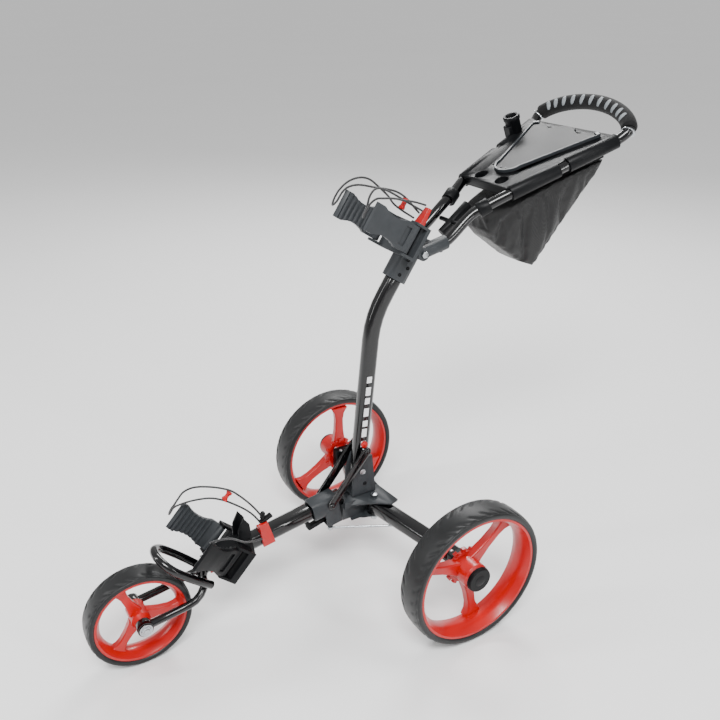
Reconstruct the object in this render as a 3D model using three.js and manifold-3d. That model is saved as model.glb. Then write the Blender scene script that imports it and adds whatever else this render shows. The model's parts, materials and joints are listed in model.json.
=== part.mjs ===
// Three-wheel golf push cart: one-click folding frame, bag cradles, console and accessory bag.
// Millimetres, +Z up. While it is built, x = 0 is the rear axle, -X is the travel direction and
// +Y is the cart's right. The finished group is moved so that its origin is under its box's middle.
import * as THREE from "three";
import { ConvexGeometry } from "three/addons/geometries/ConvexGeometry.js";
import { mergeVertices } from "three/addons/utils/BufferGeometryUtils.js";
import Module from "manifold-3d";

const wasm = await Module();
wasm.setup();

// ---- Driving dimensions
const GAP = 0.4; // between pieces that touch
const PLAY = 1; // around pieces that move
const WHEELBASE = 575;
const TRACK = 540;
const REAR_DIAMETER = 295;
const REAR_WIDTH = 60;
const FRONT_DIAMETER = 200;
const FRONT_WIDTH = 50;
const TYRE_DEPTH = 16;
const FRONT_TYRE_DEPTH = 13;
const TUBE_WIDTH = 32;
const TUBE_HEIGHT = 28;
const TUBE_CORNER = 7;
const HUB_AHEAD = 93;
const HUB_RISE = 74;
const PIVOT_RISE = 46.5;
const CROWN_BEHIND = 129;
const CROWN_RISE = 40;
const FORK_HALF = 38;
const FORK_TUBE = 8;
const MAST_DEPTH = 31;
const MAST_WIDTH = 24;
const MAST_LOWER = 284;
const MAST_BEND = 92;
const MAST_UPPER = 78;
const MAST_LEAN = 5.8;
const BAG_LEAN = 33;
const LOWER_BAG_LEAN = 43;
const LOWER_ARM_SPREAD = 18;
const COLLAR_NEAR = 58;
const COLLAR_LENGTH = 58;
const ARM_PIVOT_AHEAD = 72;
const ARM_PIVOT_HALF = 31;
const ARM_PIVOT_Z = 42.5; // above the rear axle
const ARM_WIDTH = 36;
const ARM_HEIGHT = 25;
const ARM_END_GAP = 20; // between the arm's end and the wheel's inner face
const STRUT_HALF = 24;
const STRUT_PLATE = 5;
const ROD_HALF = 86; // how far out the rods reach the arms
const HANDLE_TUBE = 10.5;
const GRIP_RADIUS = 15;
const CONSOLE_SLOPE = 21.7;
const CONSOLE_LENGTH = 232;
const CONSOLE_LOW_HALF = 71;
const CONSOLE_HIGH_HALF = 118;
const CONSOLE_DEPTH = 34;
const WALL = 3;
const CORD = 4;
const UPPER_ARM_LENGTH = 104;
const UPPER_ARM_TALL = 54;
const LOWER_ARM_LENGTH = 94;
const LOWER_ARM_TALL = 58;
const AXLE_RADIUS = 6;

const radians = THREE.MathUtils.degToRad;
const v = (x, y, z) => new THREE.Vector3(x, y, z);
const SIDES = [["left", -1], ["right", 1]];

// ---- Materials
const paint = (color, roughness, metalness = 0) =>
  new THREE.MeshStandardMaterial({ color, roughness, metalness });
const blackTube = paint(0x0b0b0c, 0.15, 0.2);
const redPlastic = paint(0xff2d2d, 0.35);
const grayPlastic = paint(0x5c6166, 0.5);
const darkPlastic = paint(0x232426, 0.55);
const rubber = paint(0x2a2b2c, 0.75);
const foam = paint(0x141414, 0.9);
const steel = paint(0xb8bcc0, 0.3, 1);
const nylon = paint(0x121214, 0.7);
const cordBlack = paint(0x1a1a1a, 0.8);

// ---- Solids
function toSolid(geometry) {
  const bare = geometry.clone();
  bare.deleteAttribute("normal");
  bare.deleteAttribute("uv");
  const merged = mergeVertices(bare, 1e-4);
  return new wasm.Manifold(
    new wasm.Mesh({
      numProp: 3,
      vertProperties: new Float32Array(merged.attributes.position.array),
      triVerts: new Uint32Array(merged.index.array),
    }),
  );
}

function fromSolid(solid) {
  const mesh = solid.getMesh();
  const geometry = new THREE.BufferGeometry();
  geometry.setAttribute("position", new THREE.BufferAttribute(mesh.vertProperties, 3));
  geometry.setIndex(new THREE.BufferAttribute(mesh.triVerts, 1));
  geometry.computeVertexNormals();
  return geometry;
}

const join = (first, ...rest) =>
  fromSolid(rest.reduce((sum, piece) => sum.add(toSolid(piece)), toSolid(first)));
const cut = (first, ...tools) =>
  fromSolid(tools.reduce((left, tool) => left.subtract(toSolid(tool)), toSolid(first)));
const common = (a, b) => fromSolid(toSolid(a).intersect(toSolid(b)));

function roundedRect(width, height, corner, segments = 2) {
  const x = width / 2 - corner;
  const y = height / 2 - corner;
  const points = [];
  [[x, y, 0], [-x, y, 90], [-x, -y, 180], [x, -y, 270]].forEach(([cx, cy, start]) => {
    for (let i = 0; i <= segments; i++) {
      const a = radians(start + (90 * i) / segments);
      points.push(new THREE.Vector2(cx + corner * Math.cos(a), cy + corner * Math.sin(a)));
    }
  });
  return new THREE.Shape(points);
}

function ring(radius, sides) {
  const points = [];
  for (let i = 0; i < sides; i++) {
    const a = (2 * Math.PI * i) / sides;
    points.push(new THREE.Vector2(radius * Math.cos(a), radius * Math.sin(a)));
  }
  return new THREE.Shape(points);
}

// A bar of the given section from a to b. The section's y stays as upright as it can.
function bar(a, b, shape, up = v(0, 0, 1)) {
  const along = b.clone().sub(a);
  const length = along.length();
  along.normalize();
  const side = up.clone().cross(along).normalize();
  const top = along.clone().cross(side);
  const geometry = new THREE.ExtrudeGeometry(shape, { depth: length, bevelEnabled: false });
  return geometry.applyMatrix4(new THREE.Matrix4().makeBasis(side, top, along).setPosition(a));
}

const rod = (a, b, radius, sides = 16, up = v(1, 0, 0)) => bar(a, b, ring(radius, sides), up);
const standing = (x, y, low, high, radius, sides = 20) =>
  rod(v(x, y, low), v(x, y, high), radius, sides);
const across = (x, z, y0, y1, radius, sides = 20) =>
  rod(v(x, y0, z), v(x, y1, z), radius, sides, v(0, 0, 1));

function block(low, high) {
  const size = high.clone().sub(low);
  const middle = low.clone().add(high).multiplyScalar(0.5);
  return new THREE.BoxGeometry(size.x, size.y, size.z).translate(middle.x, middle.y, middle.z);
}

const hull = (points) => new ConvexGeometry(points);

function sweep(points, shape, steps, closed = false) {
  const curve = new THREE.CatmullRomCurve3(points, closed, "centripetal");
  return new THREE.ExtrudeGeometry(shape, { extrudePath: curve, steps, bevelEnabled: false });
}

// An outline in x and z, extruded from y0 to y1.
function sidePlate(outline, y0, y1) {
  const shape = new THREE.Shape(outline.map(([x, z]) => new THREE.Vector2(x, z)));
  const geometry = new THREE.ExtrudeGeometry(shape, { depth: y1 - y0, bevelEnabled: false });
  const turn = new THREE.Matrix4().makeBasis(v(1, 0, 0), v(0, 0, 1), v(0, -1, 0));
  return geometry.applyMatrix4(turn).translate(0, y1, 0);
}

// The stadium outline round two pins, for a strut or a lug.
function link(a, b, radius, segments = 8) {
  const heading = Math.atan2(b.z - a.z, b.x - a.x);
  const outline = [];
  [[b, -90], [a, 90]].forEach(([pin, start]) => {
    for (let i = 0; i <= segments; i++) {
      const angle = heading + radians(start + (180 * i) / segments);
      outline.push([pin.x + radius * Math.cos(angle), pin.z + radius * Math.sin(angle)]);
    }
  });
  return outline;
}

const lathe = (profile, segments) =>
  new THREE.LatheGeometry(profile.map(([r, y]) => new THREE.Vector2(r, y)), segments);

const cart = new THREE.Group();

function add(name, geometry, material, parent = cart) {
  const mesh = new THREE.Mesh(geometry, material);
  mesh.name = name;
  parent.add(mesh);
  return mesh;
}

// ---- Skeleton points
const rearAxle = v(0, 0, REAR_DIAMETER / 2);
const frontAxle = v(-WHEELBASE, 0, FRONT_DIAMETER / 2);
const hub = v(-HUB_AHEAD, 0, rearAxle.z + HUB_RISE);
const mastPivot = hub.clone().add(v(0, 0, PIVOT_RISE));
const crown = frontAxle.clone().add(v(CROWN_BEHIND, 0, CROWN_RISE));
const tubeNose = crown.clone().add(v(6, 0, TUBE_HEIGHT / 2 + 8));
const forward = tubeNose.clone().sub(hub).normalize();
const tubeUp = v(forward.z, 0, -forward.x);
const TUBE_LENGTH = tubeNose.distanceTo(hub);

// A point at a distance ahead of the hub along the front tube, and a height above its middle.
const onTube = (ahead, above = 0, y = 0) =>
  hub.clone().addScaledVector(forward, ahead).addScaledVector(tubeUp, above).setY(y);

const leanDirection = (degrees) => v(Math.sin(radians(degrees)), 0, Math.cos(radians(degrees)));
const mastLow = leanDirection(MAST_LEAN);
const bagAxis = leanDirection(BAG_LEAN);
const bagOut = v(-bagAxis.z, 0, bagAxis.x);
const bendStart = mastPivot.clone().addScaledVector(mastLow, MAST_LOWER);
const bendCorner = bendStart.clone().addScaledVector(mastLow, MAST_BEND / 2);
const bendEnd = bendCorner.clone().addScaledVector(bagAxis, MAST_BEND / 2);
const mastTop = bendEnd.clone().addScaledVector(bagAxis, MAST_UPPER);
const COLLAR_START = 38; // the cradle's socket starts this far above the bend
const cradleBase = bendEnd.clone().addScaledVector(bagAxis, COLLAR_START);

// A point in the upper cradle: distance out toward the bag, height along the bag's axis.
const onCradle = (out, high, y = 0) =>
  cradleBase.clone().addScaledVector(bagOut, out).addScaledVector(bagAxis, high).setY(y);

// ---- Front tube, fork and front wheel
const TUBE_REAR = 44; // the tube stops this far ahead of the hub's middle
const FORK_OUT = FORK_HALF + FORK_TUBE + 1;

function frontTube() {
  const section = roundedRect(TUBE_WIDTH, TUBE_HEIGHT, TUBE_CORNER);
  add("front_tube", bar(onTube(TUBE_REAR), onTube(TUBE_LENGTH), section), blackTube);
}

function frontFork() {
  const reach = crown.x - frontAxle.x;
  const rise = crown.z - frontAxle.z;
  const half = [
    [0, FORK_HALF, 0],
    [reach * 0.42, FORK_HALF, rise * 0.18],
    [reach * 0.8, FORK_HALF * 0.97, rise * 0.42],
    [reach * 0.97, FORK_HALF * 0.6, rise * 0.8],
  ].map(([x, y, z]) => frontAxle.clone().add(v(x, y, z)));
  const mirrored = half.map((p) => v(p.x, -p.y, p.z)).reverse();
  const tube = sweep([...half, crown, ...mirrored], ring(FORK_TUBE, 10), 22);
  const plates = SIDES.map(([, s]) => {
    const inner = FORK_HALF - FORK_TUBE;
    const outer = FORK_OUT;
    const [low, high] = s < 0 ? [-outer, -inner] : [inner, outer];
    return across(frontAxle.x, frontAxle.z, low, high, 15, 24);
  });
  const neck = bar(tubeNose, crown, roundedRect(22, 18, 5));
  const seat = bar(
    onTube(TUBE_LENGTH - 40),
    onTube(TUBE_LENGTH + GAP),
    roundedRect(TUBE_WIDTH + 2 * GAP, TUBE_HEIGHT + 2 * GAP, TUBE_CORNER, 2),
  );
  const axleHole = across(frontAxle.x, frontAxle.z, -90, 90, AXLE_RADIUS + GAP, 20);
  add("front_fork", cut(join(tube, neck, ...plates), axleHole, seat), blackTube);
  const low = -TUBE_HEIGHT / 2 - GAP;
  const clip = bar(
    onTube(TUBE_LENGTH - 19, low - 4),
    onTube(TUBE_LENGTH - 7, low - 4),
    roundedRect(20, 8, 2, 1),
  );
  add("fork_lock", clip, redPlastic);
}

function wheel(place, size, material, names) {
  const group = new THREE.Group();
  group.position.copy(place);
  cart.add(group);
  const outer = size.diameter / 2;
  const rim = outer - size.depth;
  const half = size.width / 2;
  const tyre = lathe(
    [
      [rim + GAP, -half + 3],
      [outer - 9, -half],
      [outer - 3, -half + 5],
      [outer, -half + 14],
      [outer, half - 14],
      [outer - 3, half - 5],
      [outer - 9, half],
      [rim + GAP, half - 3],
      [rim + GAP, -half + 3],
    ],
    size.segments,
  );
  add(names[0], tyre, rubber, group);
  const barrel = lathe(
    [
      [rim - 5, -half + 3],
      [rim, -half + 3],
      [rim, half - 3],
      [rim - 5, half - 3],
      [rim - 11, 0],
      [rim - 5, -half + 3],
    ],
    size.segments,
  );
  const spokes = [0, 1, 2].map((i) => {
    const turn = radians(size.turn + 120 * i);
    const spoke = block(v(size.hub - 3, size.spokeLow, -size.spoke / 2),
      v(rim - 7, size.spokeHigh, size.spoke / 2));
    return spoke.rotateY(turn);
  });
  const hubBody = across(0, 0, size.hubLow, size.hubHigh, size.hub, 24);
  const bore = across(0, 0, -2 * half, 2 * half, AXLE_RADIUS + GAP, 20);
  add(names[1], cut(join(barrel, hubBody, ...spokes), bore), material, group);
  return group;
}

function frontWheel() {
  const size = {
    diameter: FRONT_DIAMETER,
    width: FRONT_WIDTH,
    depth: FRONT_TYRE_DEPTH,
    segments: 36,
    hub: 19,
    hubLow: -FORK_HALF + FORK_TUBE + PLAY,
    hubHigh: FORK_HALF - FORK_TUBE - PLAY,
    spoke: 20,
    spokeLow: -9,
    spokeHigh: 9,
    turn: 7,
  };
  wheel(frontAxle, size, redPlastic, ["front_tyre", "front_rim"]);
  const pin = across(frontAxle.x, frontAxle.z, -FORK_OUT - 9, FORK_OUT + 9, AXLE_RADIUS, 16);
  const nuts = SIDES.map(([, s]) => {
    const near = s * (FORK_OUT + GAP);
    const far = s * (FORK_OUT + 6);
    return across(frontAxle.x, frontAxle.z, Math.min(near, far), Math.max(near, far), 10, 6);
  });
  add("front_axle", join(pin, ...nuts), steel);
}

// ---- Hub, rear arms and rear wheels
const armPivot = (s) => v(-ARM_PIVOT_AHEAD, s * ARM_PIVOT_HALF, rearAxle.z + ARM_PIVOT_Z);
const armEnd = (s) =>
  v(2, s * (TRACK / 2 - REAR_WIDTH / 2 - ARM_END_GAP), rearAxle.z + 2.5);
const BOLT = 4;
const BARREL = 15;
const WING_LOW = 13.8; // the top wing's underside, above the arm pivot's middle
const HUB_TOP = 27; // the wings' ridge, above the arm pivot's middle

function hubBase() {
  const z = armPivot(1).z;
  const x = -ARM_PIVOT_AHEAD;
  const bottom = z - 29;
  const ridge = z + HUB_TOP;
  const wing = (s) =>
    hull([
      v(x - 52, s * 6, ridge - 4), v(x + 26, s * 6, ridge - 4), v(x - 52, s * 24, z + 10),
      v(x - 22, s * 44, z + WING_LOW + 4), v(x + 20, s * 66, z + WING_LOW - 1),
      v(x + 42, s * 58, z + WING_LOW - 2), v(x + 30, s * 6, ridge - 8),
      v(x - 52, s * 6, z + 10), v(x + 30, s * 6, z + 8), v(x - 22, s * 40, z + 8),
      v(x + 20, s * 64, z + 2), v(x + 40, s * 56, z + 2), v(x - 50, s * 22, z + 8),
    ]);
  const lower = (s) =>
    hull([
      v(x - 50, s * 10, z - 18), v(x - 30, s * 38, z - 20), v(x + 12, s * 50, z - 20),
      v(x + 26, s * 36, z - 20), v(x + 30, s * 8, z - 18), v(x - 50, s * 10, bottom),
      v(x - 26, s * 32, bottom + 3), v(x + 10, s * 44, bottom + 3), v(x + 30, s * 8, bottom),
    ]);
  const spine = block(v(x - 52, -14, bottom), v(x + 30, 14, ridge - 8));
  const mouth = block(v(x - 66, -24, bottom), v(x - 26, 24, z + 20));
  const body = join(spine, mouth, wing(-1), wing(1), lower(-1), lower(1));
  const sweepRoom = (s) => {
    const reach = 90;
    const drop = (armPivot(1).z - armEnd(1).z) / (armEnd(1).y - armPivot(1).y);
    const room = lathe(
      [
        [0, -19.5],
        [BARREL + 4, -19.5],
        [BARREL + 8, -21.5 - 0.2 * drop * reach],
        [reach, -34],
        [reach, WING_LOW - drop * (reach - BARREL)],
        [BARREL + PLAY, WING_LOW],
        [0, WING_LOW],
      ],
      32,
    );
    room.rotateX(Math.PI / 2).translate(x, s * ARM_PIVOT_HALF, z);
    const keep = block(v(x - 200, s > 0 ? 14 : -200, z - 60), v(x + 200, s > 0 ? 200 : -14, z + 60));
    return common(room, keep);
  };
  const holes = SIDES.map(([, s]) =>
    standing(x, s * ARM_PIVOT_HALF, z - 60, z + 60, BOLT + GAP, 16));
  const socket = bar(
    onTube(TUBE_REAR - PLAY),
    onTube(200),
    roundedRect(TUBE_WIDTH + 2 * GAP, TUBE_HEIGHT + 2 * GAP, TUBE_CORNER),
  );
  add("hub_base", cut(body, sweepRoom(-1), sweepRoom(1), ...holes, socket), grayPlastic);
  SIDES.forEach(([side, s]) => {
    const y = s * ARM_PIVOT_HALF;
    const shank = standing(x, y, bottom - 2, z + WING_LOW + 8.5, BOLT, 16);
    const head = standing(x, y, z + WING_LOW + 7.8, z + WING_LOW + 10.8, 7, 12);
    const nut = standing(x, y, bottom - 7, bottom - GAP, 7, 6);
    add("arm_pivot_bolt_" + side, join(shank, head, nut), steel);
  });
}

function rearArms() {
  SIDES.forEach(([side, s]) => {
    const pivot = armPivot(s);
    const end = armEnd(s);
    const tube = bar(pivot, end, roundedRect(ARM_WIDTH, ARM_HEIGHT, 6));
    const barrel = standing(pivot.x, pivot.y, pivot.z - 18.5, pivot.z + WING_LOW - PLAY, BARREL, 24);
    const hole = standing(pivot.x, pivot.y, pivot.z - 40, pivot.z + 40, BOLT + GAP, 16);
    const face = s * (TRACK / 2 - REAR_WIDTH / 2);
    const plate = [end.y, face - s * 2];
    const beyond = [plate[0] - s * GAP, face];
    const trim = block(
      v(end.x - 60, Math.min(...beyond), rearAxle.z - 60),
      v(end.x + 60, Math.max(...beyond), rearAxle.z + 60),
    );
    add("rear_arm_" + side, cut(join(tube, barrel), hole, trim), blackTube);
    const brake = block(
      v(end.x - 24, Math.min(...plate), rearAxle.z - 27),
      v(end.x + 20, Math.max(...plate), rearAxle.z + 22),
    );
    const far = face + s * (REAR_WIDTH - 4);
    const axleFrom = face - s * (2 - GAP);
    const axle = across(0, rearAxle.z, Math.min(axleFrom, far), Math.max(axleFrom, far),
      AXLE_RADIUS, 20);
    add("axle_block_" + side, brake, darkPlastic);
    add("rear_axle_" + side, axle, steel);
  });
}

function rearWheels() {
  SIDES.forEach(([side, s]) => {
    const half = REAR_WIDTH / 2;
    const inward = s > 0 ? [-half + 2, -half + 20] : [half - 20, half - 2];
    const hubSpan = s > 0 ? [-half + 1, half - 6] : [-half + 6, half - 1];
    const size = {
      diameter: REAR_DIAMETER,
      width: REAR_WIDTH,
      depth: TYRE_DEPTH,
      segments: 40,
      hub: 27,
      hubLow: hubSpan[0],
      hubHigh: hubSpan[1],
      spoke: 27,
      spokeLow: inward[0],
      spokeHigh: inward[1],
      turn: s < 0 ? -41 : 31,
    };
    const centre = rearAxle.clone().setY((s * TRACK) / 2);
    wheel(centre, size, redPlastic, ["rear_tyre_" + side, "rear_rim_" + side]);
    const face = centre.y + s * (half - 6);
    const cap = [face + s * GAP, face + s * 5];
    const disc = across(0, rearAxle.z, Math.min(...cap), Math.max(...cap), 22.5, 28);
    const pocket = across(0, rearAxle.z, -1000, 1000, AXLE_RADIUS + GAP, 20);
    const blind = s > 0 ? [face + 3, face + 6] : [face - 6, face - 3];
    const lid = across(0, rearAxle.z, blind[0], blind[1], 12, 16);
    add("hub_cap_" + side, join(cut(disc, pocket), lid), darkPlastic);
  });
}

// ---- Mast and its bracket
const CHEEK_IN = MAST_WIDTH / 2 + PLAY;
const CHEEK_OUT = CHEEK_IN + 5;
const MAST_FOOT = 24; // the mast ends this far below its pivot
const strutTop = mastPivot.clone().add(v(7, 0, 49));

function hubBracket() {
  const top = armPivot(1).z + HUB_TOP - 4 + GAP;
  const outline = [
    [mastPivot.x - 24, top + 5],
    [mastPivot.x + 32, top],
    [mastPivot.x + 24, mastPivot.z + 33],
    [mastPivot.x - 8, mastPivot.z + 33],
    [mastPivot.x - 20, mastPivot.z],
  ];
  const floor = [
    [mastPivot.x - 24, top],
    [mastPivot.x + 32, top],
    [mastPivot.x + 32, top + 5],
    [mastPivot.x - 24, top + 5],
  ];
  const body = join(
    sidePlate(outline, -CHEEK_OUT, -CHEEK_IN),
    sidePlate(outline, CHEEK_IN, CHEEK_OUT),
    sidePlate(floor, -CHEEK_OUT, CHEEK_OUT),
  );
  const hole = across(mastPivot.x, mastPivot.z, -40, 40, BOLT + GAP, 16);
  add("hub_bracket", cut(body, hole), darkPlastic);
  const shank = across(mastPivot.x, mastPivot.z, -CHEEK_OUT - 1, CHEEK_OUT + 1, BOLT, 16);
  const heads = SIDES.map(([, s]) => {
    const span = [s * (CHEEK_OUT + GAP), s * (CHEEK_OUT + 2.5)];
    return across(mastPivot.x, mastPivot.z, Math.min(...span), Math.max(...span), 6.5, 12);
  });
  add("mast_pivot_bolt", join(shank, ...heads), steel);
}

function mast() {
  const foot = mastPivot.clone().addScaledVector(mastLow, -MAST_FOOT);
  const path = new THREE.CurvePath();
  path.add(new THREE.LineCurve3(foot, bendStart));
  path.add(new THREE.QuadraticBezierCurve3(bendStart, bendCorner, bendEnd));
  path.add(new THREE.LineCurve3(bendEnd, mastTop));
  const section = roundedRect(MAST_WIDTH, MAST_DEPTH, 7, 2);
  const tube = new THREE.ExtrudeGeometry(section, {
    extrudePath: path,
    steps: 20,
    bevelEnabled: false,
  });
  const hole = across(mastPivot.x, mastPivot.z, -40, 40, BOLT + GAP, 16);
  const strutHole = across(strutTop.x, strutTop.z, -40, 40, BOLT + GAP, 16);
  add("mast_tube", cut(tube, hole, strutHole), blackTube);
  const pin = across(strutTop.x, strutTop.z, -STRUT_HALF + STRUT_PLATE / 2 + GAP + 1,
    STRUT_HALF - STRUT_PLATE / 2 - GAP - 1, BOLT, 16);
  add("strut_bolt", pin, steel);
  const knobPlace = mastPivot.clone().addScaledVector(mastLow, 62);
  const knob = across(knobPlace.x, knobPlace.z, -MAST_WIDTH / 2 - 7, -MAST_WIDTH / 2 - GAP, 7, 16);
  add("mast_knob", knob, redPlastic);
}

// ---- Sliding collar, struts and rods
const collarPin = onTube(COLLAR_NEAR + 18, TUBE_HEIGHT / 2 - 7);
const LUG_LOW = -46;

function slideCollar() {
  const start = COLLAR_NEAR;
  const end = COLLAR_NEAR + COLLAR_LENGTH;
  const wall = 4.5;
  const shell = bar(
    onTube(start), onTube(end),
    roundedRect(TUBE_WIDTH + 2 * wall + 2 * PLAY, TUBE_HEIGHT + 2 * wall + 2 * PLAY, 10),
  );
  const half = TUBE_WIDTH / 2 + wall + PLAY;
  const under = (from, to, y0, y1, low, high) =>
    sidePlate(
      [
        [onTube(from, high).x, onTube(from, high).z],
        [onTube(from, low).x, onTube(from, low).z],
        [onTube(to, low).x, onTube(to, low).z],
        [onTube(to, high).x, onTube(to, high).z],
      ],
      y0,
      y1,
    );
  const shell2 = join(
    shell,
    under(start, start + 34, -half + 1, -half + 5, LUG_LOW, 0),
    under(start, start + 34, half - 5, half - 1, LUG_LOW, 0),
    under(start, start + 34, -half + 1, half - 1, LUG_LOW, LUG_LOW + 4),
  );
  const bore = bar(
    onTube(start - 20), onTube(end + 20),
    roundedRect(TUBE_WIDTH + 2 * PLAY, TUBE_HEIGHT + 2 * PLAY, TUBE_CORNER),
  );
  add("slide_collar", cut(shell2, bore), grayPlastic);
  const pivot = onTube(start + 24, LUG_LOW + 12);
  const toe = onTube(end + 10, LUG_LOW + 8);
  const nose = onTube(end + 14, -TUBE_HEIGHT / 2 - PLAY - 4);
  const arm = sidePlate(link(pivot, toe, 5), -6, 6);
  const hook = sidePlate(link(toe, nose, 4), -6, 6);
  add("fold_latch", join(arm, hook), darkPlastic);
}

function struts() {
  SIDES.forEach(([side, s]) => {
    const near = s * (STRUT_HALF - STRUT_PLATE / 2);
    const far = s * (STRUT_HALF + STRUT_PLATE / 2);
    const plate = sidePlate(link(collarPin, strutTop, 9), Math.min(near, far), Math.max(near, far));
    const rivets = [collarPin, strutTop].map((pin) => {
      const span = [far - s, far + s * 4];
      return across(pin.x, pin.z, Math.min(...span), Math.max(...span), 6, 12);
    });
    add("strut_" + side, join(plate, ...rivets), blackTube);
    const from = onTube(COLLAR_NEAR + 28, LUG_LOW - 6, s * 16);
    const share = (ROD_HALF - ARM_PIVOT_HALF) / (s * armEnd(s).y - ARM_PIVOT_HALF);
    const to = armPivot(s).lerp(armEnd(s), share);
    to.z -= ARM_HEIGHT / 2 + 3 + 2 * PLAY;
    const wire = rod(from, to, 2.5, 10, v(0, 0, 1));
    const eyes = [from, to].map((p) => standing(p.x, p.y, p.z - 3, p.z + 3, 6, 12));
    add("rod_" + side, join(wire, ...eyes), steel);
  });
}

// ---- Bag cradles
const TRUNNION = 2.8;

// An arm in its own axes: x from its hinge to its tip, y outward, z along the bag.
function cradleArm(length, tall, s) {
  const barrelRadius = 8;
  const teeth = 7;
  const pitch = (length - 30) / teeth;
  const inside = [];
  for (let i = 0; i < teeth; i++) {
    const x = 22 + pitch * i;
    inside.push([x, 0.5], [x + pitch * 0.2, -3], [x + pitch * 0.6, -3], [x + pitch * 0.8, 0.5]);
  }
  const outline = [
    [2, -3], ...inside, [length - 6, -2], [length, 3], [length - 2, 8],
    [length * 0.6, 10], [20, 9], [2, 7],
  ].map(([x, y]) => new THREE.Vector2(x, s * y));
  const plate = new THREE.ExtrudeGeometry(new THREE.Shape(outline), {
    depth: tall,
    bevelEnabled: false,
  }).translate(0, 0, -tall / 2);
  const scoop = (end) =>
    new THREE.CylinderGeometry(length * 0.62, length * 0.62, 60, 36)
      .translate(length * 0.55, 0, end * (tall / 2 + length * 0.62 - 7));
  const barrel = new THREE.CylinderGeometry(barrelRadius, barrelRadius, tall, 16)
    .rotateX(Math.PI / 2);
  const pocket = block(v(12, s > 0 ? 5 : -14, -tall / 2 + 9), v(26, s > 0 ? 14 : -5, tall / 2 - 9));
  const trunnions = new THREE.CylinderGeometry(TRUNNION, TRUNNION, tall + 11, 12)
    .rotateX(Math.PI / 2);
  return join(cut(join(plate, barrel), scoop(-1), scoop(1), pocket), trunnions);
}

// A frame whose x points out to the bag, whose y points to the cart's left and whose z runs
// along the bag.
function cradleFrame(origin, axis, out) {
  const side = axis.clone().cross(out);
  const group = new THREE.Group();
  group.applyMatrix4(new THREE.Matrix4().makeBasis(out, side, axis).setPosition(origin));
  cart.add(group);
  return group;
}

const UPPER_HINGE_OUT = 48;
const UPPER_HINGE_HALF = 50;
const UPPER_MIDDLE = 77;
const PIVOT_OUT = 6; // the handle's pivot, in the cradle's axes
const PIVOT_HIGH = 66;

function saddle(hingeOut, hingeHalf, middle, tall, depth, foot) {
  const halfTall = tall / 2;
  const lug = (s, end) =>
    block(
      v(hingeOut - 22, Math.min(s * (hingeHalf - 12), s * (hingeHalf + 9)), middle + end * (halfTall + 3.5) - 2.5),
      v(hingeOut + 7, Math.max(s * (hingeHalf - 12), s * (hingeHalf + 9)), middle + end * (halfTall + 3.5) + 2.5),
    );
  const back = block(v(hingeOut - 20 - depth, -hingeHalf - 9, middle - halfTall - 6),
    v(hingeOut - 20, hingeHalf + 9, middle + halfTall + 6));
  const seat = block(v(hingeOut - 21, -hingeHalf + 12, middle - halfTall - 6),
    v(hingeOut - 4, hingeHalf - 12, middle + halfTall + 6));
  const bag = new THREE.CylinderGeometry(130, 130, 3 * tall, 72)
    .rotateX(Math.PI / 2)
    .translate(hingeOut + 130 - 16, 0, middle);
  const lugs = SIDES.flatMap(([, s]) => [lug(s, -1), lug(s, 1)]);
  const holes = SIDES.map(([, s]) =>
    new THREE.CylinderGeometry(TRUNNION + GAP, TRUNNION + GAP, 3 * tall, 12)
      .rotateX(Math.PI / 2)
      .translate(hingeOut, s * hingeHalf, middle));
  return cut(join(cut(join(back, seat), bag), foot, ...lugs), ...holes);
}

function upperCradle() {
  const group = cradleFrame(cradleBase, bagAxis, bagOut);
  const socket = bar(v(0, 0, 0), v(0, 0, 62), roundedRect(44, 40, 14), v(0, 1, 0));
  const neck = block(v(-14, -16, 44), v(UPPER_HINGE_OUT - 22, 16, UPPER_MIDDLE + 20));
  const body = saddle(UPPER_HINGE_OUT, UPPER_HINGE_HALF, UPPER_MIDDLE, UPPER_ARM_TALL,
    8, join(socket, neck));
  const mouth = bar(
    v(0, 0, -5),
    v(0, 0, MAST_UPPER - COLLAR_START + PLAY),
    roundedRect(MAST_DEPTH + 2 * GAP, MAST_WIDTH + 2 * GAP, 7),
    v(0, 1, 0),
  );
  const bolt = across(PIVOT_OUT, PIVOT_HIGH, -90, 90, BOLT + GAP, 16);
  add("upper_cradle", cut(body, mouth, bolt), grayPlastic, group);
  SIDES.forEach(([side, s]) => {
    const arm = add("upper_arm_" + side, cradleArm(UPPER_ARM_LENGTH, UPPER_ARM_TALL, -s),
      grayPlastic, group);
    arm.position.set(UPPER_HINGE_OUT, -s * UPPER_HINGE_HALF, UPPER_MIDDLE);
  });
}

const lowerAxis = leanDirection(LOWER_BAG_LEAN);
const lowerOut = v(-lowerAxis.z, 0, lowerAxis.x);
const LOWER_AHEAD = 300;
const lowerBase = onTube(LOWER_AHEAD);
const LOWER_HINGE_OUT = 16;
const LOWER_HINGE_HALF = 42;

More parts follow.
